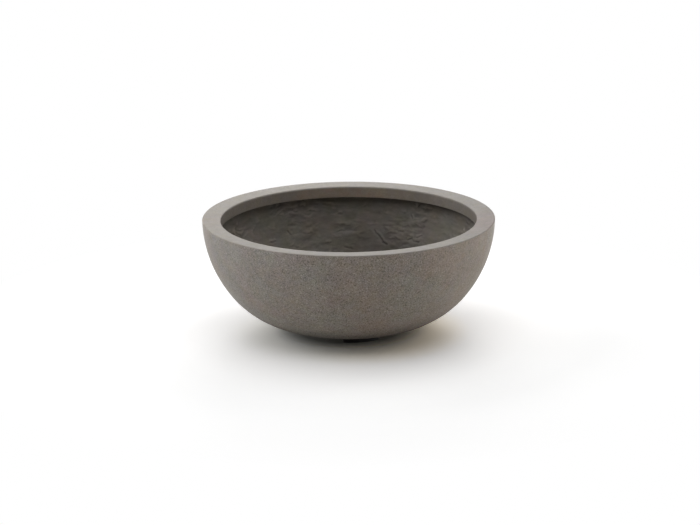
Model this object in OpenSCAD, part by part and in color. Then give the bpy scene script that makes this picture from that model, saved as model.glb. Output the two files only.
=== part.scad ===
// Low concrete bowl planter: a sandblasted face coat with a hand-laid fibre backing,
// a flat rim that returns down inside as a collar, a drain with a lift-out plug,
// and three rubber foot pads. Millimetres, +Z up, origin on the floor below the drain.

/* [Bowl] */
// Diameter across the outer edge of the rim
bowl_d = 600; // [580:5:620]
// Height of the casting, from its flat base to the rim's outer edge
shell_h = 224; // [216:1:232]
// Radius of the long upper arc of the wall
upper_arc_r = 248; // [242:1:254]
// Angle below level at which the upper arc meets the tighter lower arc
arc_change_a = 39; // [36:0.5:42]
// Lean of the wall away from upright at the rim
rim_lean_a = 0.6; // [0.2:0.1:1.2]

/* [Rim] */
// Width of the rim's flat top
rim_w = 38; // [34:1:44]
// Fall of the rim's top from its outer edge to its inner edge
rim_fall = 2.2; // [0.5:0.1:4]
// Depth of the collar that returns down inside the rim
collar_h = 24; // [18:1:30]
// Rounding of the rim's outer edge
outer_edge_r = 2; // [1:0.5:3]
// Rounding of the rim's inner edge
inner_edge_r = 4; // [1:0.5:5]
// Rounding of the collar's lower edge
collar_edge_r = 1.5; // [0.5:0.5:3]

/* [Layers] */
// Thickness of the fine face coat
coat_t = 5; // [4:0.5:6]
// Thickness of the hand-laid fibre backing on the wall and base
backing_t = 12; // [10:0.5:14]
// Rounding where the inner wall runs up under the collar
undercut_r = 9; // [5:1:12]

/* [Drain] */
// Bore of the plastic drain sleeve
drain_bore_d = 32; // [28:1:36]
// Wall of the sleeve
sleeve_wall = 3.5; // [2.5:0.5:4]
// Width of the sleeve's flange beyond its wall
sleeve_flange_w = 9.5; // [8:0.5:12]
// Thickness of the sleeve's flange
sleeve_flange_t = 2.5; // [2:0.5:3]
// Length of the sleeve that stands below the base as a drip edge
drip_h = 4; // [2:0.5:6]
// Radius at which the inner floor starts to fall towards the drain
dish_r = 85; // [70:5:90]
// Fall of the inner floor towards the drain
dish_fall = 3; // [2:0.5:4]

/* [Plug] */
// Gap between the plug's sealing beads and the sleeve's bore
plug_gap = 0.3; // [0.2:0.1:0.6]
// Diameter of the plug's flange
plug_flange_d = 46; // [42:1:50]
// Thickness of the plug's flange
plug_flange_t = 4; // [3:0.5:6]
// Length of the plug's stem below its flange
plug_stem_l = 21; // [18:1:24]
// Inner diameter of the pull ring
pull_ring_d = 14; // [12:1:18]
// Thickness of the pull ring
pull_ring_t = 6; // [5:0.5:7]

/* [Feet] */
// Thickness of the rubber foot pads
pad_t = 18; // [14:1:22]
// Width of a pad, from its inner arc to its outer arc
pad_w = 30; // [24:1:34]
// Length of a pad, as an angle about the bowl's axis
pad_arc_a = 48; // [36:1:60]
// Turn of the front pad from the front towards the right
pad_turn_a = 16; // [0:1:30]
// Depth of the grooves in a pad's tread
tread_depth = 1.5; // [1:0.5:2]

/* [Hidden] */
$fn = 240;

// The wall's two tangent arcs
bowl_r = bowl_d / 2;
base_z = pad_t;
rim_z = base_z + shell_h;
upper_c = [bowl_r - upper_arc_r * cos(rim_lean_a), rim_z + upper_arc_r * sin(rim_lean_a)];
upper_arc_drop = upper_arc_r * (sin(arc_change_a) - sin(rim_lean_a));
lower_arc_r = (shell_h - upper_arc_drop) / (1 - sin(arc_change_a));
lower_c = upper_c + (upper_arc_r - lower_arc_r) * below(arc_change_a);
base_r = lower_c[0];

// The rim's top, which falls inwards
rim_slope_a = atan(rim_fall / rim_w);
rim_up = [-sin(rim_slope_a), cos(rim_slope_a)];
rim_corner = [bowl_r, rim_z];
mouth_r = bowl_r - rim_w;
collar_z = rim_z - rim_fall - collar_h;
collar_corner = [mouth_r, collar_z];

// Centres of the roundings of the rim's outer and inner edges
outer_edge_drop = outer_edge_r - (rim_corner - upper_c) * rim_up;
outer_edge_a = asin(outer_edge_drop / (upper_arc_r - outer_edge_r)) - rim_slope_a;
outer_edge_c = upper_c + (upper_arc_r - outer_edge_r) * below(outer_edge_a);
inner_edge_x = mouth_r + inner_edge_r;
inner_edge_drop = (inner_edge_r + sin(rim_slope_a) * (bowl_r - inner_edge_x)) / cos(rim_slope_a);
inner_edge_c = [inner_edge_x, rim_z - inner_edge_drop];

// The cavity and the rounding under the collar
wall_t = coat_t + backing_t;
cavity_arc_r = upper_arc_r - wall_t;
floor_z = base_z + wall_t;
undercut_c_z = collar_z - undercut_r;
undercut_a = asin((upper_c[1] - undercut_c_z) / (cavity_arc_r - undercut_r));
undercut_c = upper_c + (cavity_arc_r - undercut_r) * below(undercut_a);
undercut_meet = upper_c + cavity_arc_r * below(undercut_a);

// The drain: radii from the bore outwards, heights from the flange's top down
bore_r = drain_bore_d / 2;
sleeve_r = bore_r + sleeve_wall;
sleeve_flange_r = sleeve_r + sleeve_flange_w;
key_r = sleeve_r + sleeve_wall;
key_t = 3;
key_rise = 1.5;
key_z = base_z + coat_t + key_rise;
drain_z = floor_z - dish_fall;
sleeve_seat_z = drain_z - sleeve_flange_t;
drip_z = base_z - drip_h;
lead_in = 0.8;

// The plug's drafted stem, with beads whose rounds sink a little into it
bead_half = 0.8;
bead_sink = 0.2;
bead_count = 3;
bead_pitch = 4.5;
stem_draft = 1.2;
stem_chamfer = 1;
stem_top_r = bore_r - plug_gap - bead_half;
stem_tip_r = stem_top_r - stem_draft;
stem_tip_z = drain_z - plug_stem_l;

// The plug's flange, and the pull ring that is moulded into its top
plug_flange_r = plug_flange_d / 2;
plug_top_z = drain_z + plug_flange_t;
plug_edge_r = 1.5;
pull_rod_r = pull_ring_t / 2;
pull_mean_r = pull_ring_d / 2 + pull_rod_r;
pull_sink = 1;
pull_c_z = plug_top_z + pull_mean_r - pull_sink;

// The foot pads: set back from the edge of the flat base, with a drafted side and a treaded sole
pad_margin = 4;
pad_outer_r = base_r - pad_margin;
pad_inner_r = pad_outer_r - pad_w;
pad_count = 3;
pad_pitch_a = 360 / pad_count;
pad_draft = 0.6;
pad_chamfer = 1.5;
tread_count = 3;
tread_w = 3;
tread_pitch = pad_w / (tread_count + 1);

// Reach of shapes past what they cut or meet, and the angles at which the wall's arcs
// start above the rim, overlap each other and end beyond the base
past = 12;
above_rim_a = -6;
arc_lap_a = 4;
beyond_base_a = 96;

// Unit vector that points outwards and down, at an angle below level
function below(a) = [cos(a), -sin(a)];

// Height of the rim's top at a radius
function rim_top(r) = rim_z - rim_fall * (bowl_r - r) / rim_w;

// Sector of a disc, from one angle below level to another
module sector(c, r, a_from, a_to) {
    reach = 1.4 * r;
    intersection() {
        translate(c) circle(r);
        polygon([c, for (a = [a_from, (a_from + a_to) / 2, a_to]) c + reach * below(a)]);
    }
}

// Half section of the bowl as if it were solid, drawn in from its outer face by an inset.
// The upper arc starts at an angle below level.
module bowl_half(inset, a_start) {
    union() {
        sector(upper_c, upper_arc_r - inset, a_start, arc_change_a);
        sector(lower_c, lower_arc_r - inset, arc_change_a - arc_lap_a, beyond_base_a);
        polygon([[0, base_z + inset], [base_r, base_z + inset], lower_c + [past, 0],
                 upper_c + [past, 0], [0, upper_c[1]]]);
    }
}

// Everything below the rim's sloping top, lowered by an inset
module below_rim(inset) {
    r = bowl_r + past;
    polygon([[0, 0], [r, 0], [r, rim_top(r) - inset], [0, rim_top(0) - inset]]);
}

// The corner that a rounding takes away: between two tangent points, out to a point past the edge
module edge_cut(c, r, tangent_a, outside, tangent_b) {
    difference() {
        polygon([c, tangent_a, outside, tangent_b]);
        translate(c) circle(r);
    }
}

// Half section of the empty inside: the floor, the wall, the undercut and the mouth
module cavity_half() {
    union() {
        bowl_half(wall_t, undercut_a);
        polygon([lower_c, undercut_meet, undercut_c, [undercut_c[0], collar_z], [base_r, collar_z]]);
        translate(undercut_c) circle(undercut_r);
        translate([0, undercut_c_z]) square([mouth_r, rim_z - undercut_c_z + past]);
        polygon([[0, drain_z], [sleeve_flange_r, drain_z], [dish_r, floor_z], [dish_r, floor_z + past],
                 [0, floor_z + past]]);
    }
}

// Half section of the backing and the cavity together: all that the face coat wraps
module core_half() {
    difference() {
        intersection() {
            bowl_half(coat_t, above_rim_a);
            below_rim(coat_t);
        }
        translate([0, collar_z]) square([mouth_r + coat_t, rim_z]);
    }
}

// Half section that the sleeve fills in the wall: its tube, key ring and flange
module sleeve_seat_half() {
    union() {
        translate([0, drip_z - past]) square([sleeve_r, floor_z - drip_z + past]);
        translate([0, key_z]) square([key_r, key_t]);
        translate([0, sleeve_seat_z]) square([sleeve_flange_r, sleeve_flange_t + past]);
    }
}

// Fine face coat: the outer wall and base, the rim's top and the collar, in one skin
module face_shell() {
    color([0.45, 0.42, 0.40])
    rotate_extrude()
    difference() {
        intersection() {
            bowl_half(0, above_rim_a);
            below_rim(0);
        }
        core_half();
        translate([0, collar_z - past]) square([mouth_r, rim_z]);
        edge_cut(outer_edge_c, outer_edge_r, upper_c + upper_arc_r * below(outer_edge_a),
                 rim_corner + [1, 1] * outer_edge_r, outer_edge_c + outer_edge_r * rim_up);
        edge_cut(inner_edge_c, inner_edge_r, inner_edge_c - [inner_edge_r, 0],
                 [mouth_r, rim_z] + [-1, 1] * inner_edge_r, inner_edge_c + inner_edge_r * rim_up);
        edge_cut(collar_corner + [1, 1] * collar_edge_r, collar_edge_r, collar_corner + [0, collar_edge_r],
                 collar_corner - [1, 1] * collar_edge_r, collar_corner + [collar_edge_r, 0]);
        sleeve_seat_half();
    }
}

// Hand-laid fibre backing: fills the rim behind the collar and lines the wall and base
module fibre_backing() {
    color([0.33, 0.30, 0.28])
    rotate_extrude()
    difference() {
        core_half();
        cavity_half();
        sleeve_seat_half();
    }
}

// Drain sleeve: a flanged plastic tube with a key ring, cast into the base
module drain_sleeve() {
    color([0.16, 0.16, 0.17])
    rotate_extrude()
    polygon([[bore_r + lead_in, drain_z], [sleeve_flange_r, drain_z], [sleeve_flange_r, sleeve_seat_z],
             [sleeve_r, sleeve_seat_z], [sleeve_r, key_z + key_t], [key_r, key_z + key_t], [key_r, key_z],
             [sleeve_r, key_z], [sleeve_r, drip_z + lead_in], [sleeve_r - lead_in, drip_z],
             [bore_r, drip_z], [bore_r, drain_z - lead_in]]);
}

// Half section of the plug: a drafted stem with round beads under a flange with a rounded edge
module plug_half() {
    union() {
        polygon([[0, stem_tip_z], [stem_tip_r - stem_chamfer, stem_tip_z],
                 [stem_tip_r, stem_tip_z + stem_chamfer], [stem_top_r, drain_z], [0, drain_z]]);
        for (i = [1:bead_count])
            translate([stem_top_r - bead_sink, drain_z - bead_pitch * i]) circle(bead_half + bead_sink);
        translate([0, drain_z]) square([plug_flange_r, plug_flange_t - plug_edge_r]);
        translate([0, drain_z]) square([plug_flange_r - plug_edge_r, plug_flange_t]);
        translate([plug_flange_r - plug_edge_r, plug_top_z - plug_edge_r]) circle(plug_edge_r);
    }
}

// Rubber drain plug with a ring to pull it out by
module drain_plug() {
    color([0.09, 0.09, 0.09])
    union() {
        rotate_extrude() plug_half();
        translate([0, 0, pull_c_z]) rotate([90, 0, 0])
            rotate_extrude() translate([pull_mean_r, 0]) circle(pull_rod_r);
    }
}

// Section of a foot pad: drafted sides, a chamfered sole and grooves round the tread
module pad_half() {
    difference() {
        polygon([[pad_inner_r, pad_t], [pad_outer_r, pad_t], [pad_outer_r - pad_draft, pad_chamfer],
                 [pad_outer_r - pad_draft - pad_chamfer, 0], [pad_inner_r + pad_draft + pad_chamfer, 0],
                 [pad_inner_r + pad_draft, pad_chamfer]]);
        for (i = [1:tread_count])
            translate([pad_inner_r + tread_pitch * i - tread_w / 2, -past])
                square([tread_w, tread_depth + past]);
    }
}

// Rubber foot pad, one of the ring of pads, glued under the flat base
module foot_pad(index) {
    centre_a = -90 + pad_turn_a + pad_pitch_a * index;
    color([0.07, 0.07, 0.07])
    rotate([0, 0, centre_a - pad_arc_a / 2])
    rotate_extrude(angle = pad_arc_a) pad_half();
}

face_shell();
fibre_backing();
drain_sleeve();
drain_plug();
foot_pad(0);  // foot_pad_front
foot_pad(1);  // foot_pad_rear_right
foot_pad(2);  // foot_pad_left
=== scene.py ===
import math

import bpy
import numpy as np
from mathutils import Matrix, Vector


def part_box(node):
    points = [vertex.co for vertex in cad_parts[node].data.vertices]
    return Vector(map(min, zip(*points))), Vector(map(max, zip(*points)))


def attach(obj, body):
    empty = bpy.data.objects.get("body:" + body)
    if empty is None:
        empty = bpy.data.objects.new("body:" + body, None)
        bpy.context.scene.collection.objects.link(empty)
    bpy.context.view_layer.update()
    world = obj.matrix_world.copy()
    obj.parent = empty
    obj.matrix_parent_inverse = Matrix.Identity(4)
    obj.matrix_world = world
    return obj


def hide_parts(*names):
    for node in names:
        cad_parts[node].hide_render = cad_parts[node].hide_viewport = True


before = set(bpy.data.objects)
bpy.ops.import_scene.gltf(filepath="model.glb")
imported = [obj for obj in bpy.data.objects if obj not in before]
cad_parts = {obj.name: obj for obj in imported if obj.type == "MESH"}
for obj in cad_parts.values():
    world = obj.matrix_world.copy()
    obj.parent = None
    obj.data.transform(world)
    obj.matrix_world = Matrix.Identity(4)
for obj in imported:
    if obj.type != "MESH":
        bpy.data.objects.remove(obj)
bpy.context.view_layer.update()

# The casting's driving dimensions in metres, as the solids have them but for one rounding
BOWL_R = 0.300                      # outer edge of the rim
BASE_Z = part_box("face_shell")[0][2]  # underside of the flat base
SHELL_H = 0.224                     # from the base to the rim's outer edge
UPPER_ARC_R = 0.248                 # long upper arc of the wall
ARC_CHANGE = math.radians(39)       # where it meets the tighter lower arc, below level
RIM_LEAN = math.radians(0.6)        # lean of the wall at the rim
RIM_W = 0.038                       # width of the rim's top
RIM_FALL = 0.0022                   # fall of the rim's top towards the inside
COLLAR_H = 0.024                    # depth of the collar inside the rim
OUTER_EDGE_R = 0.002                # roundings of the rim's two edges
INNER_EDGE_R = 0.0025               # 4 mm in the solids; the photograph's edge is crisper
COLLAR_EDGE_R = 0.0015              # rounding of the collar's lower edge
COAT_T = 0.005                      # face coat
BACKING_T = 0.012                   # hand-laid backing
UNDERCUT_R = 0.009                  # rounding under the collar
SLEEVE_R = 0.0195                   # outside of the drain sleeve's tube
SLEEVE_FLANGE_R = 0.029
SLEEVE_FLANGE_T = 0.0025
SLEEVE_KEY_R = 0.023
SLEEVE_KEY_T = 0.003
SLEEVE_KEY_RISE = 0.0015            # key ring's height over the face coat
DISH_R = 0.085                      # where the floor starts to fall to the drain
DISH_FALL = 0.003

# Detail of the modelled skins
ROUND_STEPS = 1024                  # faces round the axis
ROUND_ANGLES = np.linspace(0, 2 * math.pi, ROUND_STEPS, endpoint=False)
WALL_STEP = 0.0016                  # length of a face along the section
EDGE_STEP = 0.0005                  # the same on the small roundings
TURN_STEP = 2 * EDGE_STEP           # the same on the rounding under the collar
SAME_PLACE = 1e-7                   # points of the section closer than this are one

# The photograph's view: a long lens, a little above the rim
VIEW_TARGET_Z = 0.2389              # height that the view is measured from: the rim's inner edge
VIEW_DISTANCE = 6.0
VIEW_FARTHEST = 60.0
VIEW_ELEVATION = math.radians(14.78)
VIEW_ROLL = math.radians(-0.47)
IMAGE_W, IMAGE_H = 700, 525
TARGET_X, TARGET_Y = 348.6, 218.33  # where the target falls in the photograph
FOCAL_PX = 2927.0                   # focal length in the photograph's pixels
SENSOR_W = 36.0                     # in millimetres, as the camera's lens is


# --- Section of the bowl -------------------------------------------------------------------------

def below(angle):
    """Unit vector that points outwards and down, at an angle below level."""
    return np.array((math.cos(angle), -math.sin(angle)))


class Section:
    """The places in the bowl's half section that both of its layers share, as (radius, height)."""
    rim_z = BASE_Z + SHELL_H
    upper_c = np.array((BOWL_R, rim_z)) - UPPER_ARC_R * below(RIM_LEAN)
    upper_arc_drop = UPPER_ARC_R * (math.sin(ARC_CHANGE) - math.sin(RIM_LEAN))
    lower_arc_r = (SHELL_H - upper_arc_drop) / (1 - math.sin(ARC_CHANGE))
    lower_c = upper_c + (UPPER_ARC_R - lower_arc_r) * below(ARC_CHANGE)
    base_r = lower_c[0]
    mouth_r = BOWL_R - RIM_W
    coat_r = mouth_r + COAT_T
    collar_z = rim_z - RIM_FALL - COLLAR_H
    slope = math.atan(RIM_FALL / RIM_W)
    rim_up = np.array((-math.sin(slope), math.cos(slope)))
    wall_t = COAT_T + BACKING_T
    coat_z = BASE_Z + COAT_T
    floor_z = BASE_Z + wall_t
    drain_z = floor_z - DISH_FALL


def rim_top(radius):
    """Height of the rim's top at a radius."""
    return Section.rim_z - RIM_FALL * (BOWL_R - radius) / RIM_W


def line(start, end, step=WALL_STEP):
    """Points along a straight line, from one (radius, height) to another."""
    count = max(2, math.ceil(math.dist(start, end) / step) + 1)
    return np.linspace(start, end, count)


def arc(centre, radius, start, end, step=WALL_STEP):
    """Points along an arc, from one angle below level to another."""
    count = max(3, math.ceil(abs(end - start) * radius / step) + 1)
    angles = np.linspace(start, end, count)
    return np.column_stack((centre[0] + radius * np.cos(angles), centre[1] - radius * np.sin(angles)))


def wall(inset, start):
    """The wall's two tangent arcs, drawn in by an inset, from an angle below level down to the base."""
    upper = arc(Section.upper_c, UPPER_ARC_R - inset, start, ARC_CHANGE)
    lower = arc(Section.lower_c, Section.lower_arc_r - inset, ARC_CHANGE, math.pi / 2)
    return np.vstack((upper, lower))


def top_angle(depth, inset):
    """Angle below level at which the inset wall lies a depth below the line of the rim's top."""
    gap = (np.array((BOWL_R, Section.rim_z)) - Section.upper_c) @ Section.rim_up
    return math.asin((depth - gap) / (UPPER_ARC_R - inset)) - Section.slope


def meeting_line():
    """Where the backing meets the face coat: up behind the collar, under the rim and down to the drain."""
    s = Section
    under_rim = (s.coat_r, rim_top(s.coat_r) - COAT_T)
    top_a = top_angle(COAT_T, COAT_T)
    corner = s.upper_c + (UPPER_ARC_R - COAT_T) * below(top_a)
    return [
        line((s.coat_r, s.collar_z), under_rim),
        line(under_rim, corner),
        wall(COAT_T, top_a),
        line((s.base_r, s.coat_z), (SLEEVE_R, s.coat_z)),
    ]


def face_section():
    """Closed section of the face coat, from the drain round the outside and back, as runs of a kind."""
    s = Section
    edge_a = top_angle(OUTER_EDGE_R, OUTER_EDGE_R)
    edge_c = s.upper_c + (UPPER_ARC_R - OUTER_EDGE_R) * below(edge_a)
    inner_x = s.mouth_r + INNER_EDGE_R
    inner_c = np.array((inner_x, rim_top(inner_x) - INNER_EDGE_R / math.cos(s.slope)))
    up_a = -math.pi / 2 - s.slope
    collar_c = np.array((s.mouth_r, s.collar_z)) + COLLAR_EDGE_R
    return [
        ("base", line((SLEEVE_R, BASE_Z), (s.base_r, BASE_Z))),
        ("wall", wall(0.0, edge_a)[::-1]),
        ("edge", arc(edge_c, OUTER_EDGE_R, edge_a, up_a, EDGE_STEP)),
        ("rim", line(edge_c + OUTER_EDGE_R * s.rim_up, inner_c + INNER_EDGE_R * s.rim_up)),
        ("edge", arc(inner_c, INNER_EDGE_R, up_a, -math.pi, EDGE_STEP)),
        ("collar", line((s.mouth_r, inner_c[1]), (s.mouth_r, collar_c[1]))),
        ("edge", arc(collar_c, COLLAR_EDGE_R, math.pi, math.pi / 2, EDGE_STEP)),
        ("collar", line((collar_c[0], s.collar_z), (s.coat_r, s.collar_z), EDGE_STEP)),
    ] + [("hidden", run) for run in meeting_line()] + [
        ("hidden", line((SLEEVE_R, s.coat_z), (SLEEVE_R, BASE_Z))),
    ]


def backing_section():
    """Closed section of the backing, from under the collar down the wall to the drain and back."""
    s = Section
    inner_r = UPPER_ARC_R - s.wall_t
    turn_z = s.collar_z - UNDERCUT_R
    turn_a = math.asin((s.upper_c[1] - turn_z) / (inner_r - UNDERCUT_R))
    turn_c = s.upper_c + (inner_r - UNDERCUT_R) * below(turn_a)
    seat_z = s.drain_z - SLEEVE_FLANGE_T
    key_z = s.coat_z + SLEEVE_KEY_RISE
    key_top_z = key_z + SLEEVE_KEY_T
    seat = [(SLEEVE_FLANGE_R, s.drain_z), (SLEEVE_FLANGE_R, seat_z), (SLEEVE_R, seat_z),
            (SLEEVE_R, key_top_z), (SLEEVE_KEY_R, key_top_z), (SLEEVE_KEY_R, key_z),
            (SLEEVE_R, key_z), (SLEEVE_R, s.coat_z)]
    return [
        ("lip", line((s.coat_r, s.collar_z), (turn_c[0], s.collar_z))),
        ("wall", arc(turn_c, UNDERCUT_R, -math.pi / 2, turn_a, TURN_STEP)),
        ("wall", wall(s.wall_t, turn_a)),
        ("wall", line((s.base_r, s.floor_z), (DISH_R, s.floor_z))),
        ("wall", line((DISH_R, s.floor_z), (SLEEVE_FLANGE_R, s.drain_z))),
    ] + [("hidden", line(*ends)) for ends in zip(seat, seat[1:])] + [
        ("hidden", run[::-1]) for run in reversed(meeting_line())
    ]


def join_section(stretches):
    """The section as one closed run of points, with the kind of each and its outward normal."""
    points, kinds = [], []
    for kind, run in stretches:
        for point in run:
            if not points or math.dist(point, points[-1]) > SAME_PLACE:
                points.append(point)
                kinds.append(kind)
    if math.dist(points[0], points[-1]) < SAME_PLACE:
        points.pop()
        kinds.pop()
    points = np.array(points)
    tangent = np.roll(points, -1, 0) - np.roll(points, 1, 0)
    tangent /= np.linalg.norm(tangent, axis=1)[:, None]
    normals = np.column_stack((tangent[:, 1], -tangent[:, 0]))
    x, z = points.T
    turn = np.sum(x * np.roll(z, -1) - np.roll(x, -1) * z)
    return points, np.array(kinds), normals * math.copysign(1, turn)


# --- Noise and relief ----------------------------------------------------------------------------

NOISE_VALUES = 4096                 # random values that the noise picks from: a power of two
NOISE_PRIMES = np.array((73856093, 19349663, 83492791))
CELL_CORNERS = np.array(list(np.ndindex(2, 2, 2)))


def smooth_noise(points, cell, seed):
    """Noise from -1 to 1 at points (..., 3) in metres, whose features are about one cell across."""
    table = np.random.default_rng(seed).uniform(-1, 1, NOISE_VALUES)
    scaled = points / cell
    corner = np.floor(scaled).astype(np.int64)
    part = scaled - corner
    part = part * part * (3 - 2 * part)
    total = np.zeros(points.shape[:-1])
    for step in CELL_CORNERS:
        key = np.bitwise_xor.reduce((corner + step) * NOISE_PRIMES, axis=-1)
        weight = np.prod(np.where(step, part, 1 - part), axis=-1)
        total += weight * table[key & (NOISE_VALUES - 1)]
    return total


def layered_noise(points, cell, seed, layers, fade=0.5):
    """Smooth noise with finer and fainter layers on top."""
    total = 0.0
    for layer in range(layers):
        total = total + fade ** layer * smooth_noise(points, cell / 2 ** layer, seed + layer)
    return total


def fade_in(distance, width):
    """0 at a boundary, rising smoothly to 1 at a width from it."""
    t = np.clip(distance / width, 0, 1)
    return t * t * (3 - 2 * t)


# --- Meshes --------------------------------------------------------------------------------------

def surface_of_revolution(points):
    """Places (section, round, 3) of a section turned about the axis."""
    radius = points[:, 0, None]
    height = np.broadcast_to(points[:, 1, None], (len(points), ROUND_STEPS))
    return np.stack((radius * np.cos(ROUND_ANGLES), radius * np.sin(ROUND_ANGLES), height), -1)


def pushed_out(places, normals, relief):
    """The places moved outwards from the section's face by a relief."""
    moved = places.copy()
    radial = places[..., :2] / np.linalg.norm(places[..., :2], axis=-1, keepdims=True)
    moved[..., :2] += radial * (normals[:, 0, None] * relief)[..., None]
    moved[..., 2] += normals[:, 1, None] * relief
    return moved


def all_round(values):
    """One value for each point of the section, repeated round the axis."""
    return np.repeat(values.astype(float)[:, None], ROUND_STEPS, 1)


def revolved_mesh(name, places, attributes):
    """A closed mesh from a grid of places that wraps round both ways, with an attribute's value per point."""
    rows, columns = places.shape[:2]
    index = np.arange(rows * columns).reshape(rows, columns)
    right, down = np.roll(index, -1, 1), np.roll(index, -1, 0)
    faces = np.stack((index, right, np.roll(down, -1, 1), down), -1).reshape(-1, 4)
    mesh = bpy.data.meshes.new(name)
    mesh.vertices.add(rows * columns)
    mesh.vertices.foreach_set("co", places.reshape(-1).astype(np.float32))
    mesh.loops.add(faces.size)
    mesh.loops.foreach_set("vertex_index", faces.reshape(-1).astype(np.int32))
    mesh.polygons.add(len(faces))
    mesh.polygons.foreach_set("loop_start", np.arange(0, faces.size, 4, dtype=np.int32))
    mesh.polygons.foreach_set("use_smooth", np.ones(len(faces), dtype=bool))
    mesh.update(calc_edges=True)
    mesh.validate()
    for label, values in attributes.items():
        layer = mesh.attributes.new(label, "FLOAT", "POINT")
        layer.data.foreach_set("value", values.reshape(-1).astype(np.float32))
    piece = bpy.data.objects.new(name, mesh)
    bpy.context.scene.collection.objects.link(piece)
    return piece


CAST_WAVE = 0.00010                 # height of the slow wave that the mould left in the wall
CAST_WAVE_SIZE = 0.09
PITS = 0.00004                      # height of the finer unevenness on it
PITS_SIZE = 0.012
CAST_INSET = 0.00019                # draws the face in, so that the wave stays inside the solid


def face_shell_piece():
    """The face coat: a cast wall that waves very slightly, with a smoother rim and collar."""
    points, kinds, normals = join_section(face_section())
    places = surface_of_revolution(points)
    shown = np.isin(kinds, ("wall", "rim", "edge", "collar"))
    wave = CAST_WAVE * layered_noise(places, CAST_WAVE_SIZE, 11, 2)
    pits = PITS * smooth_noise(places, PITS_SIZE, 21)
    moved = pushed_out(places, normals, (wave + pits - CAST_INSET) * shown[:, None])
    return revolved_mesh("bowl_face", moved, {"blasted": all_round(kinds == "wall"),
                                              "collar": all_round(kinds == "collar")})


# Folds left where wet mix was pressed on: angle about the axis in degrees, height, length, tilt in
# degrees, and depth. The first 14 are where the photograph has them.
FOLDS = (
    (74.6, 0.132, 0.052, -45, 0.0027), (71.8, 0.121, 0.018, -20, 0.0030), (64.8, 0.148, 0.022, 1, 0.0020),
    (55.3, 0.131, 0.021, -1, 0.0022), (93.9, 0.177, 0.013, -16, 0.0018), (119.1, 0.148, 0.018, -53, 0.0017),
    (100.1, 0.121, 0.018, 7, 0.0018), (129.1, 0.137, 0.024, -6, 0.0019), (93.6, 0.144, 0.026, 11, 0.0015),
    (89.9, 0.110, 0.028, -11, 0.0018), (60.4, 0.179, 0.013, -49, 0.0018), (149.0, 0.169, 0.028, -31, 0.0015),
    (54.2, 0.142, 0.020, 27, 0.0018), (59.0, 0.134, 0.017, 17, 0.0018),
    (-40.0, 0.150, 0.020, 18, 0.0012), (-95.0, 0.135, 0.018, -30, 0.0014), (-150.0, 0.160, 0.022, 10, 0.0012),
    (178.0, 0.120, 0.016, -20, 0.0014), (8.0, 0.155, 0.018, 25, 0.0012), (-70.0, 0.100, 0.016, 0, 0.0012),
)
FOLD_HALF = 0.0015                  # half the width of a fold
LIP_HALF = 2.5 * FOLD_HALF          # half the width of the lip above it
LIP_SHARE = 0.4                     # height of the lip, as a share of the fold's depth
LEDGE_COUNT = 800
LEDGE_TILT = 0.30                   # spread of the ledges' tilts
LEDGE_CURVE = 10.0                  # spread of their bends, in 1/m
LEDGE_HALF = (0.006, 0.021)         # half the length of a ledge that the float left
LEDGE_LIFT = 0.0025                 # height of the highest ledges
LEDGE_LOWEST = 0.04                 # height of the lowest, as a share of that
LEDGE_DROP = 0.0014                 # width of a ledge's steep lower side
LEDGE_RISE = (0.004, 0.013)         # width of its slow upper side
LEDGE_RAGGED = 0.0016               # how far its line wanders
RAGGED_SIZE = 0.009
LUMP = 0.0021                       # height of the soft lumps
LUMP_SIZE = 0.030
FLATTEN = (1.0, 1.0, 2.8)           # the lumps lie along the level
LUMP_FADE = 0.4                     # each finer layer's share of the one before
DRIFT = 0.004                       # how far they are dragged out of shape
SWELL = 0.0010                      # slow swells of the whole surface
SWELL_SIZE = 0.06
SMOOTHED = 0.34                     # share of the relief that is left where the float smoothed it down
SMOOTHED_SIZE = 0.05                # size of those areas
SMOOTHED_EDGE = (-0.22, 0.28)       # noise values from fully smoothed to fully rough
TURN_FADE = 0.010                   # distance from the collar over which the relief sets in
DRAIN_FADE = 0.030                  # the same from the drain
CREASE_PASSES = 8                   # how widely the surface is evened out to find its dents and ridges
CREASE_DEPTH = 0.0004               # depth of a dent that counts in full


def over_the_wall(length, radius, along_at, angle_at, reach, tilt):
    """Rows near a spot on the wall, and each point's distances along and across a tilted line there."""
    near = np.abs(length - along_at) < reach
    away = (angle_at - ROUND_ANGLES + math.pi) % (2 * math.pi) - math.pi
    sideways = away[None, :] * radius[near, None]
    upwards = np.broadcast_to((along_at - length[near])[:, None], sideways.shape)
    along = sideways * math.cos(tilt) + upwards * math.sin(tilt)
    across = upwards * math.cos(tilt) - sideways * math.sin(tilt)
    return near, along, across


def lay_ledges(length, radius, ragged, rough):
    """Height of the ledges that strokes of the float left: steep below and slow above."""
    rng = np.random.default_rng(7)
    relief = np.zeros(ragged.shape)
    area = radius * np.gradient(length)
    for along_at in rng.choice(length, LEDGE_COUNT, p=area / area.sum()):
        angle_at = rng.uniform(0, 2 * math.pi)
        half = rng.uniform(*LEDGE_HALF)
        rise = rng.uniform(*LEDGE_RISE)
        lift = LEDGE_LIFT * rng.uniform(math.sqrt(LEDGE_LOWEST), 1.0) ** 2
        tilt = rng.normal(0, LEDGE_TILT)
        near, along, across = over_the_wall(length, radius, along_at, angle_at, half + 2 * rise, tilt)
        across = across + LEDGE_RAGGED * ragged[near] + rng.normal(0, LEDGE_CURVE) * along ** 2
        steep = fade_in(across + LEDGE_DROP, LEDGE_DROP)
        slow = np.exp(-(across / rise) ** 2)
        ends = fade_in(half - np.abs(along), half)
        relief[near] += lift * np.where(across < 0, steep, slow) * ends * rough[near]
    return relief


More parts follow.
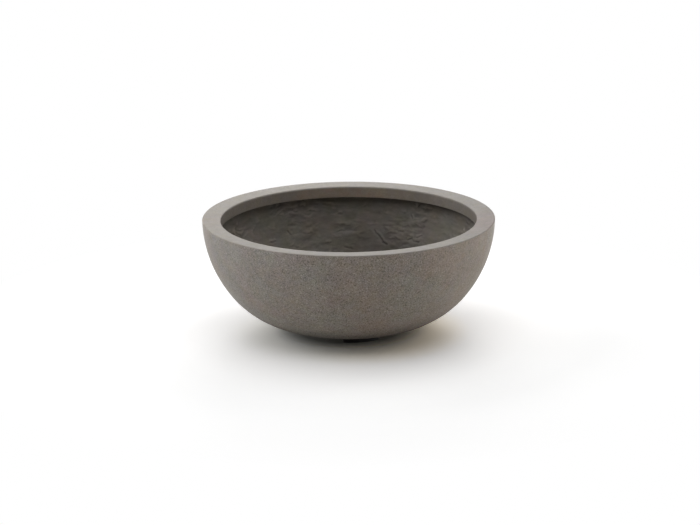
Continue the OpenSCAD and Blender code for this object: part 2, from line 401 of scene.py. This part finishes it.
def press_folds(length, radius, height, ragged):
    """Depth of the folds, each with a lip along its upper side."""
    relief = np.zeros(ragged.shape)
    for angle_at, height_at, fold_length, tilt, depth in FOLDS:
        row = np.argmin(np.where(radius > DISH_R, np.abs(height - height_at), np.inf))
        near, along, across = over_the_wall(length, radius, length[row], math.radians(angle_at),
                                            fold_length, math.radians(tilt))
        across = across + LEDGE_RAGGED * ragged[near]
        run = fade_in(fold_length / 2 - np.abs(along), fold_length / 3)
        groove = np.exp(-(across / FOLD_HALF) ** 2)
        lip = np.exp(-((across - LIP_HALF) / LIP_HALF) ** 2)
        relief[near] += depth * run * (LIP_SHARE * lip - groove)
    return relief


def laid_relief(length, points, places):
    """Relief of the backing: lumps, swells, ledges and folds, with some areas smoothed down."""
    radius, height = points.T
    drift = DRIFT * np.stack([layered_noise(places, LUMP_SIZE, seed, 2) for seed in (81, 91, 101)], -1)
    lumps = layered_noise((places + drift) * FLATTEN, LUMP_SIZE, 61, 3, LUMP_FADE)
    ragged = layered_noise(places, RAGGED_SIZE, 51, 2)
    patchy = layered_noise(places, SMOOTHED_SIZE, 111, 2)
    smoothed_low, smoothed_high = SMOOTHED_EDGE
    rough = SMOOTHED + (1 - SMOOTHED) * fade_in(patchy - smoothed_low, smoothed_high - smoothed_low)
    swell = layered_noise(places, SWELL_SIZE, 41, 2)
    return (LUMP * lumps * rough + SWELL * swell + lay_ledges(length, radius, ragged, rough)
            + press_folds(length, radius, height, ragged))


def creases(relief):
    """1 in the relief's dents and -1 on its ridges."""
    soft = relief
    for _ in range(CREASE_PASSES):
        soft = sum((np.roll(soft, step, axis) for axis in (0, 1) for step in (1, -1)), soft) / 5
    return np.clip((soft - relief) / CREASE_DEPTH, -1, 1)


def fibre_backing_piece():
    """The backing, laid on by hand in overlapping dabs that leave ridges and dents."""
    points, kinds, normals = join_section(backing_section())
    places = surface_of_revolution(points)
    shown = kinds == "wall"
    rows = np.flatnonzero(shown)
    length = np.concatenate(([0], np.cumsum(np.linalg.norm(np.diff(points[rows], axis=0), axis=1))))
    fade = fade_in(length, TURN_FADE) * fade_in(points[rows, 0] - SLEEVE_FLANGE_R, DRAIN_FADE)
    relief = np.zeros(places.shape[:2])
    relief[rows] = laid_relief(length, points[rows], places[rows]) * fade[:, None]
    moved = pushed_out(places, normals, relief)
    return revolved_mesh("bowl_backing", moved, {"crease": creases(relief) * shown[:, None]})


# --- Materials -----------------------------------------------------------------------------------

WHITE = (1, 1, 1, 1)
NOISE_HALF = 0.25                   # most of a noise's values lie within this of 0.5
DUST_ROUGHNESS = 0.2                # roughness of the sheen that stands for dust
SPOT_CORE = 0.25                    # share of a spot's reach over which it is full
SPOT_RAGGED = 0.25                  # how far a noise moves its edge, as a share of its reach


class Nodes:
    """A material's node tree with a few short calls to build it."""

    def __init__(self, name):
        self.material = bpy.data.materials.new(name)
        self.material.use_nodes = True
        self.tree = self.material.node_tree
        self.tree.nodes.clear()
        self.output = self.add("ShaderNodeOutputMaterial")
        self.place = self.add("ShaderNodeTexCoord").outputs["Object"]

    def add(self, kind, **settings):
        node = self.tree.nodes.new(kind)
        for key, value in settings.items():
            setattr(node, key, value)
        return node

    def link(self, source, target):
        self.tree.links.new(source, target)

    def put(self, socket, value):
        """Sets a socket to a plain value, or links it to another node's output."""
        if isinstance(value, bpy.types.NodeSocket):
            self.link(value, socket)
        else:
            socket.default_value = value

    def axes(self):
        """The place's X, Y and Z in metres."""
        node = self.add("ShaderNodeSeparateXYZ")
        self.link(self.place, node.inputs[0])
        return node.outputs

    def noise(self, size, detail=2.0, roughness=0.5, stretch=None):
        """Noise about 0.5, with features of a size in metres."""
        node = self.add("ShaderNodeTexNoise")
        place = self.place
        if stretch is not None:
            mapping = self.add("ShaderNodeMapping")
            mapping.inputs["Scale"].default_value = stretch
            self.link(place, mapping.inputs["Vector"])
            place = mapping.outputs["Vector"]
        self.link(place, node.inputs["Vector"])
        node.inputs["Scale"].default_value = 1 / size
        node.inputs["Detail"].default_value = detail
        node.inputs["Roughness"].default_value = roughness
        return node.outputs["Fac"]

    def cells(self, size):
        """A random value for each cell of a size in metres."""
        node = self.add("ShaderNodeTexVoronoi")
        self.link(self.place, node.inputs["Vector"])
        node.inputs["Scale"].default_value = 1 / size
        split = self.add("ShaderNodeSeparateColor")
        self.link(node.outputs["Color"], split.inputs["Color"])
        return split.outputs["Red"]

    def math(self, operation, a, b=0.0):
        node = self.add("ShaderNodeMath", operation=operation)
        self.put(node.inputs[0], a)
        self.put(node.inputs[1], b)
        return node.outputs[0]

    def plus(self, a, b):
        return self.math("ADD", a, b)

    def times(self, a, b):
        return self.math("MULTIPLY", a, b)

    def vector(self, operation, a, b):
        node = self.add("ShaderNodeVectorMath", operation=operation)
        self.put(node.inputs[0], a)
        self.put(node.inputs[1], b)
        return node.outputs

    def remap(self, value, low, high, to_low=0.0, to_high=1.0):
        """Straight from one range of values to another, and level beyond its ends."""
        node = self.add("ShaderNodeMapRange")
        self.link(value, node.inputs["Value"])
        for name, number in (("From Min", low), ("From Max", high), ("To Min", to_low), ("To Max", to_high)):
            self.put(node.inputs[name], number)
        return node.outputs["Result"]

    def across(self, x, to_left, to_right):
        """One value at the bowl's left side and another at its right."""
        return self.remap(x, -BOWL_R, BOWL_R, to_left, to_right)

    def spread(self, noise, half, to_low=0.0, to_high=1.0):
        """A noise's values from half below its middle to half above it, as another range."""
        return self.remap(noise, 0.5 - half, 0.5 + half, to_low, to_high)

    def vary(self, noise, share, half=NOISE_HALF):
        """A factor about 1 that a noise raises and lowers by a share."""
        return self.spread(noise, half, 1 - share, 1 + share)

    def spot(self, centre, reach, broken=None):
        """1 at a place in metres, falling to 0 at its reach along each axis, and broken up by any noise."""
        away = self.vector("SUBTRACT", self.place, centre)[0]
        share = self.vector("DIVIDE", away, reach)[0]
        distance = self.vector("DISTANCE", share, (0, 0, 0))["Value"]
        if broken is not None:
            distance = self.plus(distance, self.spread(broken, NOISE_HALF, -SPOT_RAGGED, SPOT_RAGGED))
        return self.remap(distance, SPOT_CORE, 1.0, 1.0, 0.0)

    def attribute(self, name):
        return self.add("ShaderNodeAttribute", attribute_name=name).outputs["Fac"]

    def mixed(self, data_type, factor, a, b):
        node = self.add("ShaderNodeMix", data_type=data_type)
        for name, value in (("Factor", factor), ("A", a), ("B", b)):
            self.put(node.inputs[name], value)
        return node.outputs["Result"]

    def blend(self, factor, a, b):
        """Colour a where the factor is 0, and b where it is 1."""
        return self.mixed("RGBA", factor, a, b)

    def mix(self, factor, a, b):
        """Number a where the factor is 0, and b where it is 1."""
        return self.mixed("FLOAT", factor, a, b)

    def mix_shaders(self, factor, a, b):
        """Shader a where the factor is 0, and b where it is 1."""
        node = self.add("ShaderNodeMixShader")
        for socket, value in zip(node.inputs, (factor, a, b)):
            self.put(socket, value)
        return node.outputs["Shader"]

    def diffuse(self, colour):
        node = self.add("ShaderNodeBsdfDiffuse")
        self.put(node.inputs["Color"], colour)
        return node.outputs["BSDF"]

    def shaded(self, colour, factor):
        """A colour times a number."""
        node = self.add("ShaderNodeVectorMath", operation="SCALE")
        self.put(node.inputs[0], colour)
        self.put(node.inputs["Scale"], factor)
        return node.outputs[0]

    def tinted(self, colour, tint):
        """A colour times a tint, channel by channel."""
        return self.vector("MULTIPLY", colour, tint)[0]

    def bump(self, height, distance, strength, normal=None):
        """A normal bumped by a height, whose full range stands for a distance in metres."""
        node = self.add("ShaderNodeBump")
        self.link(height, node.inputs["Height"])
        node.inputs["Distance"].default_value = distance
        self.put(node.inputs["Strength"], strength)
        if normal is not None:
            self.link(normal, node.inputs["Normal"])
        return node.outputs["Normal"]

    def surface(self, colour, roughness, normal, specular, dust=0.0):
        """The finished material, with any dust as a sheen that pales it where it is seen edge-on."""
        shader = self.add("ShaderNodeBsdfPrincipled")
        self.put(shader.inputs["Base Color"], colour)
        self.put(shader.inputs["Roughness"], roughness)
        shader.inputs["Specular IOR Level"].default_value = specular
        self.put(shader.inputs["Sheen Weight"], dust)
        shader.inputs["Sheen Roughness"].default_value = DUST_ROUGHNESS
        self.link(normal, shader.inputs["Normal"])
        return self.finish(shader.outputs["BSDF"])

    def finish(self, shader):
        self.link(shader, self.output.inputs["Surface"])
        return self.material


TINTING = 0.14                      # how far the tint's noise swings from one colour to the other

# The wall of the face
WALL_COLOURS = ((0.295, 0.284, 0.262, 1), (0.320, 0.273, 0.248, 1))     # cool and warm
WALL_RUST = (0.320, 0.264, 0.222, 1)
WALL_RUSTY = (0.56, 0.80, 0.0, 0.8)     # noise values over which rust comes in, and its least and most
SIDE_LIGHT_TINT = (-0.04, 0.04)           # painted tint of light added to the tint's noise: cooler on the left and warmer on the right
FOOT_LIGHT_TINT = (-0.24, 0.15)           # the same painted tint of light at the foot of the wall
FOOT_TOP = 0.150                    # height at which that ends
WALL_LIGHT_TINTS = ((1.0, 1.0, 1.035, 1), (1.0, 1.0, 0.965, 1))               # painted tints of cooler light on the left and warmer light on the right
FOOT_SHADE_ACROSS = (-0.05, 0.15)       # places along X between which the painted shade at the foot changes
FOOT_SHADE_TOP = (BASE_Z + 0.046, BASE_Z + 0.066)   # height up to which the foot is darkened with painted shade, left and right
FOOT_PAINTED_SHADE = (0.52, 0.40)         # how dark that painted shade is at the base
BLAST_EVEN = (0.10, 0.29)           # distance to the side over which the bared sand gets fainter
BLAST_SIDE = 0.50                   # share of it that is left there
BLAST_GRAIN = 0.46                  # how strongly its grain shows
DARK_SAND = (0.84, 0.95, 1.0, 0.60)     # values of the cells that are dark grains of sand, and their shade
PALE_SAND = (0.10, 0.04, 1.0, 1.35)     # the same for the pale ones
WALL_DUST = 0.75                    # dust on the wall, which pales it where it is seen edge-on
DUSTY = (0.045, 0.110)              # heights from none of it to all of it

# The rim
RIM_COLOURS = ((0.313, 0.293, 0.262, 1), (0.310, 0.278, 0.247, 1))      # cool and warm
RIM_RUST = (0.300, 0.248, 0.209, 1)
RIM_RUSTY = (0.60, 0.80, 0.0, 0.7)
RIM_PAINTED_SIDES = (1.035, 0.87)           # painted light and shade on the left and on the right
RIM_PAINTED_RIGHT = (0.14, BOWL_R, 1.0, 0.90)   # places along X over which painted shade darkens the right end still more
RIM_PAINTED_DEPTH = (-BOWL_R, BOWL_R, 0.97, 1.16)   # painted light from the front to the back, paler at the back
RIM_STAINS = (                      # place, reach and tint of the broad stains at the rim's two ends
    ((0.276, -0.050, 0.242), (0.060, 0.120, 0.060), (1.050, 0.965, 0.990, 1)),
    ((-0.278, -0.020, 0.242), (0.050, 0.075, 0.060), (1.020, 0.988, 0.980, 1)),
)

# The collar
COLLAR_BROWNS = ((0.296, 0.251, 0.203, 1), (0.312, 0.233, 0.184, 1))
COLLAR_RUSTY = (0.40, 0.62)         # noise values from one to the other
COLLAR_GREYS = ((0.232, 0.210, 0.184, 1), (0.236, 0.204, 0.174, 1))
COLLAR_DULL = (0.07, 0.14)          # distance to the side over which the collar turns from brown to grey
COLLAR_WEAR = -0.08                 # wear darkens it, where it pales the rest

# All of the face
FACE_FILM = ((1.0, 1.0, 0.95, 1), (1.0, 1.0, 1.05, 1))                  # tints from yellower to bluer
FACE_CLOUDS = 0.09                  # how strongly the clouds, the wear and the rest of the marks show
FACE_WEAR = 0.05
FINE_GRAIN = 0.12                   # on the rim and the collar
TROWEL_MARKS = 0.06
FACE_ROUGHNESS = (0.66, 0.85)       # off the wall and on it
FACE_SPECULAR = 0.36
FACE_BUMPS = (0.0008, 0.0006)       # height of the clouds and of the grain, in metres
SMOOTH_BUMP = 0.6                   # strength of the grain's bump off the wall


def wall_colour(n, tint, rust):
    """Painted light: cooler on the left and warmer on the right, most of all at the foot, which is darkened
    with painted shade.
    """
    x, _, z = n.axes()
    # painted tint of light: cooler on the left, warmer on the right, most at the foot
    foot_light_tint = n.times(n.across(x, *FOOT_LIGHT_TINT), n.remap(z, BASE_Z, FOOT_TOP, 1.0, 0.0))
    side_light_tint = n.plus(n.across(x, *SIDE_LIGHT_TINT), foot_light_tint)
    colour = n.blend(n.spread(n.plus(tint, side_light_tint), TINTING), *WALL_COLOURS)
    colour = n.blend(n.remap(rust, *WALL_RUSTY), colour, WALL_RUST)
    colour = n.tinted(colour, n.blend(n.across(x, 0.0, 1.0), *WALL_LIGHT_TINTS))
    # painted shade at the foot of the wall, stronger on the right
    foot_shade_top = n.remap(x, *FOOT_SHADE_ACROSS, *FOOT_SHADE_TOP)
    foot_shade = n.remap(x, *FOOT_SHADE_ACROSS, *FOOT_PAINTED_SHADE)
    return n.shaded(colour, n.remap(z, BASE_Z, foot_shade_top, foot_shade, 1.0))


def rim_colour(n, cloud, rust, worn):
    """Painted light paler at the back and on the left, painted shade at the right end, and a stain at each
    end.
    """
    x, y, _ = n.axes()
    colour = n.blend(n.spread(cloud, half=0.2), *RIM_COLOURS)
    colour = n.blend(n.remap(rust, *RIM_RUSTY), colour, RIM_RUST)
    for centre, reach, stain in RIM_STAINS:
        colour = n.tinted(colour, n.blend(n.spot(centre, reach, worn), WHITE, stain))
    # painted light and shade on the rim: paler to the left and back, darker to the right
    painted_side_shade = n.times(n.across(x, *RIM_PAINTED_SIDES), n.remap(x, *RIM_PAINTED_RIGHT))
    return n.shaded(colour, n.times(painted_side_shade, n.remap(y, *RIM_PAINTED_DEPTH)))


def collar_colour(n, aside, tint, rust, worn):
    """Brown in the middle and grey to the sides."""
    brown = n.blend(n.remap(rust, *COLLAR_RUSTY), *COLLAR_BROWNS)
    grey = n.blend(n.spread(tint, TINTING), *COLLAR_GREYS)
    colour = n.blend(n.remap(aside, *COLLAR_DULL), brown, grey)
    return n.shaded(colour, n.vary(worn, COLLAR_WEAR, half=0.2))


def face_concrete():
    """Warm grey concrete: sandblasted on the wall, which bares the sand, and smooth on the rim and collar."""
    n = Nodes("face_concrete")
    blasted, collar = n.attribute("blasted"), n.attribute("collar")
    tint = n.noise(0.085, detail=4.0, roughness=0.65)
    film = n.noise(0.022, detail=3.0, roughness=0.65)
    rust = n.noise(0.034, detail=4.0, roughness=0.7)
    worn = n.noise(0.055, detail=3.0, roughness=0.6)
    cloud = n.noise(0.018, detail=4.0, roughness=0.75)
    grain = n.noise(0.0024, detail=3.0, roughness=0.7)
    trowel = n.noise(0.006, detail=3.0, roughness=0.6)
    sand = n.cells(0.0019)
    x, _, z = n.axes()
    aside = n.math("ABSOLUTE", x)

    smooth = n.blend(collar, rim_colour(n, cloud, rust, worn), collar_colour(n, aside, tint, rust, worn))
    colour = n.blend(blasted, smooth, wall_colour(n, tint, rust))
    colour = n.tinted(colour, n.blend(n.spread(film, half=0.15), *FACE_FILM))

    even = n.remap(aside, *BLAST_EVEN, 1.0, BLAST_SIDE)
    grains = n.times(n.remap(sand, *DARK_SAND), n.remap(sand, *PALE_SAND))
    bared = n.mix(even, 1.0, n.times(n.vary(grain, BLAST_GRAIN), grains))
    fine_grain = n.times(n.vary(grain, FINE_GRAIN), n.vary(trowel, TROWEL_MARKS, half=0.2))
    shade = n.times(n.vary(cloud, FACE_CLOUDS), n.vary(worn, FACE_WEAR, half=0.2))
    shade = n.times(shade, n.mix(blasted, fine_grain, bared))

    cloud_bump, grain_bump = FACE_BUMPS
    normal = n.bump(grain, grain_bump, strength=n.mix(blasted, SMOOTH_BUMP, even))
    normal = n.bump(cloud, cloud_bump, strength=0.5, normal=normal)
    roughness = n.remap(blasted, 0.0, 1.0, *FACE_ROUGHNESS)
    dust = n.times(blasted, n.remap(z, *DUSTY, 0.0, WALL_DUST))
    return n.surface(n.shaded(colour, shade), roughness, normal, FACE_SPECULAR, dust)


BACKING_COLOURS = ((0.183, 0.174, 0.150, 1), (0.200, 0.173, 0.151, 1))  # cool and warm
BACKING_FILM = ((1.0, 1.0, 0.94, 1), (1.0, 1.0, 1.06, 1))               # tints from yellower to bluer
BACKING_CLOUDS = 0.14               # how strongly the clouds and the grain show
BACKING_GRAIN = 0.05
CREASE_LIGHT_AND_SHADE = (1.22, 0.74)         # painted light on the ridges and painted shade in the dents
BACKING_PAINTED_RIGHT_LIGHT = (0.08, 0.26, 1.0, 1.18)     # places along X over which painted light makes it paler to the right, and how much
DAMP_PLACE = (0.070, 0.205, 0.108)  # a dull patch low on the right of the wall's far side
DAMP_REACH = (0.125, 0.150, 0.055)
DAMP_SHADE = 0.70
UNDERCUT_SHADE_H = (0.190, 0.208)            # heights over which painted shade darkens the corner under the collar
UNDERCUT_SHADE_ACROSS = (-0.02, 0.20)        # places along X between which that painted shade grows
# how dark that painted shade is at the left and at the right
UNDERCUT_PAINTED_SHADE = (1.00, 0.58)
BACKING_ROUGHNESS = 0.9
BACKING_SPECULAR = 0.29
BACKING_BUMPS = (0.0015, 0.0004)    # height of the clouds and of the grain, in metres


def backing_concrete():
    """Darker mix with glass fibre in it, smoothed down by hand, with painted shade in the dents and in the
    corner under the collar, and painted light on the ridges and to the right.
    """
    n = Nodes("backing_concrete")
    tint = n.noise(0.05, detail=3.0, roughness=0.6)
    film = n.noise(0.032, detail=3.0, roughness=0.6)
    cloud = n.noise(0.030, detail=4.0, roughness=0.6, stretch=(1.0, 1.0, 2.2))
    grain = n.noise(0.004, detail=3.0, roughness=0.65)
    x, _, z = n.axes()

    colour = n.blend(n.spread(tint, half=0.15), *BACKING_COLOURS)
    colour = n.tinted(colour, n.blend(n.spread(film, half=0.15), *BACKING_FILM))

    damp = n.remap(n.spot(DAMP_PLACE, DAMP_REACH, film), 0.0, 1.0, 1.0, DAMP_SHADE)
    # painted shade in the corner under the collar, deepest on the right
    undercut_shade = n.remap(z, *UNDERCUT_SHADE_H, 1.0, n.remap(x, *UNDERCUT_SHADE_ACROSS, *UNDERCUT_PAINTED_SHADE))
    # painted light to the right, a damp stain, and the painted shade under the collar
    stains_and_painted_shading = n.times(n.times(n.remap(x, *BACKING_PAINTED_RIGHT_LIGHT), damp), undercut_shade)
    # painted shade in the dents and painted light on the ridges
    painted_crease_shade = n.remap(n.attribute("crease"), -1.0, 1.0, *CREASE_LIGHT_AND_SHADE)
    shade = n.times(n.vary(cloud, BACKING_CLOUDS), stains_and_painted_shading)
    shade = n.times(shade, n.times(n.vary(grain, BACKING_GRAIN), painted_crease_shade))

    cloud_bump, grain_bump = BACKING_BUMPS
    normal = n.bump(grain, grain_bump, strength=0.6)
    normal = n.bump(cloud, cloud_bump, strength=0.5, normal=normal)
    return n.surface(n.shaded(colour, shade), BACKING_ROUGHNESS, normal, BACKING_SPECULAR)


PAD_BLACK = (0.012, 0.012, 0.012, 1)
PAD_DUST = 0.15                     # share of the dust's colour where it lies thickest
PLUG_BLACK = (0.016, 0.016, 0.016, 1)
PLUG_DUST = 0.35
DUST = (0.16, 0.15, 0.14, 1)
DUST_LIES = (0.45, 0.75)            # noise values from none of it to the most
RUBBER_ROUGHNESS = (0.55, 0.75)
SLEEVE_GREYS = ((0.030, 0.030, 0.032, 1), (0.042, 0.041, 0.041, 1))
SLEEVE_ROUGHNESS = (0.42, 0.55)
PATCHES = 0.2                       # how far a noise swings between two of these


def rubber(name, black, dust):
    """Dull black rubber with a fine grain, and dust lying on it."""
    n = Nodes(name)
    grain = n.noise(0.0012)
    patch = n.noise(0.018, detail=3.0, roughness=0.6)
    colour = n.blend(n.remap(patch, *DUST_LIES, 0.0, dust), black, DUST)
    roughness = n.spread(patch, PATCHES, *RUBBER_ROUGHNESS)
    return n.surface(colour, roughness, n.bump(grain, 0.0002, strength=0.6), specular=0.4)


def sleeve_plastic():
    """Moulded dark grey plastic, matte, with faint flow marks."""
    n = Nodes("sleeve_plastic")
    grain = n.noise(0.0009)
    patch = n.noise(0.02)
    colour = n.blend(n.spread(patch, PATCHES), *SLEEVE_GREYS)
    roughness = n.spread(patch, PATCHES, *SLEEVE_ROUGHNESS)
    return n.surface(colour, roughness, n.bump(grain, 0.0001, strength=0.5), specular=0.5)


# --- Studio --------------------------------------------------------------------------------------

FLOOR_HALF = 12.0                   # half the floor's side
AXIS_FOOT = (0.0, 0.0, 0.0)         # where the bowl's axis meets the floor
FLOOR_FADE = (0.52, 0.85)           # distance from the axis over which the floor fades to white
PAINTED_SHADOW_PLACE = (0.0, 0.02, 0.0)     # middle of the painted shadow under the bowl
PAINTED_SHADOW_EDGE = (0.112, 0.163)        # distance from it over which the painted shadow fades outwards
PAINTED_SHADOW_SHARE = 0.3                   # how dark the painted shadow is there, as a share of the rest
PAINTED_LIGHT_RING = (0.38, 0.52)          # distance over which the painted light that pales the floor round the bowl ends
RING_LIGHT_SHARE = 1.11                  # how much that painted light pales it, as a share of the rest
PAINTED_BOUNCE_REACH = (0.17, 0.25)           # distance over which the painted warm bounce of light from the bowl on the floor ends
PAINTED_BOUNCE_TONES = ((1.00, 0.995, 0.955, 1), (1.16, 1.06, 0.88, 1))          # painted bounce tones on the left and on the right
BOUNCE_TONES_ACROSS = (-0.10, 0.14)        # places along X between which it changes
FLOOR_SHOWN = 1.215                 # what the camera sees of the floor, exposed to white as in the photograph
FLOOR_BOUNCE = (0.70, 0.66, 0.60)   # what the floor throws back at the bowl
FLOOR_DULL = (0.10, 0.27)           # distance over which it throws back less, close to the bowl
DULL_SHARE = 0.4                    # what it throws back there, as a share of the rest

# Name, place, size and power in watts of the studio's lights
LAMPS = (
    ("ceiling", (0.0, 0.0, 3.0), (6.0, 6.0), 77.0),
    ("left_wall", (-3.2, 0.3, 1.4), (4.0, 2.5), 59.0),
    ("right_wall", (3.2, 0.3, 1.4), (4.0, 2.5), 23.0),
    ("back_panel", (0.0, 2.44, 0.99), (1.2, 1.2), 22.0),
    ("high_front", (0.0, -1.49, 2.23), (1.6, 1.4), 5.5),
    ("high_back_left", (-1.05, 1.05, 2.23), (1.6, 1.4), 5.4),
    ("high_back_right", (1.05, 1.05, 2.23), (1.6, 1.4), 9.0),
    ("front_wall", (0.0, -5.0, 1.6), (5.0, 2.5), 8.0),
    ("low_right", (2.20, 0.0, 0.125), (1.2, 0.22), 8.8),
    ("low_back_right", (1.90, 1.10, 0.125), (1.2, 0.22), 5.2),
    ("low_back_left", (-1.90, 1.10, 0.125), (1.2, 0.22), 4.3),
    ("low_front_left", (-1.90, -1.10, 0.125), (1.2, 0.22), 3.6),
)
LAMPS_FACE = (0, 0, 0.15)           # the middle of the bowl, which they are all turned to


def floor_white():
    """White studio floor that fades into the background away from the bowl and keeps its shadow near it, with
    painted shadow under the bowl, a ring of painted light round it and a painted warm bounce from the bowl.
    """
    n = Nodes("floor_white")
    x, _, _ = n.axes()
    distance = n.vector("DISTANCE", n.place, AXIS_FOOT)["Value"]
    from_shadow = n.vector("DISTANCE", n.place, PAINTED_SHADOW_PLACE)["Value"]

    # painted shadow on the floor under the bowl
    under = n.remap(from_shadow, *PAINTED_SHADOW_EDGE, PAINTED_SHADOW_SHARE, 1.0)
    # painted light that lifts the floor's shadow round the bowl
    paler = n.remap(distance, *PAINTED_LIGHT_RING, RING_LIGHT_SHARE, 1.0)
    # painted warm bounce of light from the bowl on the floor, warmest on the right
    tone = n.blend(n.remap(x, *BOUNCE_TONES_ACROSS), *PAINTED_BOUNCE_TONES)
    tone = n.blend(n.remap(distance, *PAINTED_BOUNCE_REACH), tone, WHITE)
    lit = n.diffuse(n.shaded(tone, n.times(n.times(under, paler), FLOOR_SHOWN)))
    white = n.add("ShaderNodeEmission").outputs["Emission"]
    shown = n.mix_shaders(n.remap(distance, *FLOOR_FADE), lit, white)

    bounced = n.diffuse(n.shaded(FLOOR_BOUNCE, n.remap(distance, *FLOOR_DULL, DULL_SHARE, 1.0)))
    from_camera = n.add("ShaderNodeLightPath").outputs["Is Camera Ray"]
    return n.finish(n.mix_shaders(from_camera, bounced, shown))


def build_floor():
    mesh = bpy.data.meshes.new("floor")
    h = FLOOR_HALF
    mesh.from_pydata([(-h, -h, 0), (h, -h, 0), (h, h, 0), (-h, h, 0)], [], [(0, 1, 2, 3)])
    floor = bpy.data.objects.new("floor", mesh)
    bpy.context.scene.collection.objects.link(floor)
    mesh.materials.append(floor_white())


def build_background():
    """White to the camera, and dark to the bowl, which the lamps alone light."""
    world = bpy.data.worlds.new("studio")
    bpy.context.scene.world = world
    world.use_nodes = True
    nodes, links = world.node_tree.nodes, world.node_tree.links
    nodes.clear()
    path = nodes.new("ShaderNodeLightPath")
    white = nodes.new("ShaderNodeBackground")
    output = nodes.new("ShaderNodeOutputWorld")
    white.inputs["Color"].default_value = WHITE
    links.new(path.outputs["Is Camera Ray"], white.inputs["Strength"])
    links.new(white.outputs["Background"], output.inputs["Surface"])


def build_lamps():
    for name, place, size, power in LAMPS:
        light = bpy.data.lights.new(name, "AREA")
        light.shape = "RECTANGLE"
        light.size, light.size_y = size
        light.energy = power
        lamp = bpy.data.objects.new(name, light)
        lamp.location = place
        lamp.rotation_euler = (Vector(LAMPS_FACE) - Vector(place)).to_track_quat("-Z", "Y").to_euler()
        bpy.context.scene.collection.objects.link(lamp)


def build_camera():
    """A camera whose view of the rim falls where the photograph has it."""
    data = bpy.data.cameras.new("view")
    data.sensor_fit = "HORIZONTAL"
    data.sensor_width = SENSOR_W
    data.lens = FOCAL_PX * SENSOR_W / IMAGE_W
    data.clip_end = VIEW_FARTHEST
    camera = bpy.data.objects.new("view", data)
    bpy.context.scene.collection.objects.link(camera)
    target = Vector((0, 0, VIEW_TARGET_Z))
    back = Vector((0, -math.cos(VIEW_ELEVATION), math.sin(VIEW_ELEVATION)))
    turn_x = Matrix.Rotation(math.atan((TARGET_Y - IMAGE_H / 2) / FOCAL_PX), 3, "X")
    turn_y = Matrix.Rotation(math.atan((TARGET_X - IMAGE_W / 2) / FOCAL_PX), 3, "Y")
    facing = back.to_track_quat("Z", "Y").to_matrix() @ Matrix.Rotation(VIEW_ROLL, 3, "Z")
    aim = facing @ turn_x @ turn_y
    camera.matrix_world = Matrix.Translation(target + back * VIEW_DISTANCE) @ aim.to_4x4()
    bpy.context.scene.camera = camera


# --- The planter ---------------------------------------------------------------------------------

def dress(piece, material):
    """Gives a piece one material in every slot."""
    if not piece.data.materials:
        piece.data.materials.append(material)
    for slot in piece.material_slots:
        slot.material = material


def build_planter():
    """The two layers of concrete in place of their solids, and materials for all seven pieces."""
    face = face_shell_piece()
    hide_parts("face_shell")
    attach(face, "bowl")
    dress(face, face_concrete())

    backing = fibre_backing_piece()
    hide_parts("fibre_backing")
    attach(backing, "bowl")
    dress(backing, backing_concrete())

    pads = rubber("pad_rubber", PAD_BLACK, PAD_DUST)
    for name in ("foot_pad_front", "foot_pad_rear_right", "foot_pad_left"):
        dress(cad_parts[name], pads)
    dress(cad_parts["drain_plug"], rubber("plug_rubber", PLUG_BLACK, PLUG_DUST))
    dress(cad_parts["drain_sleeve"], sleeve_plastic())


build_camera()
build_planter()
build_floor()
build_background()
build_lamps()
bpy.context.scene.view_settings.view_transform = "Standard"
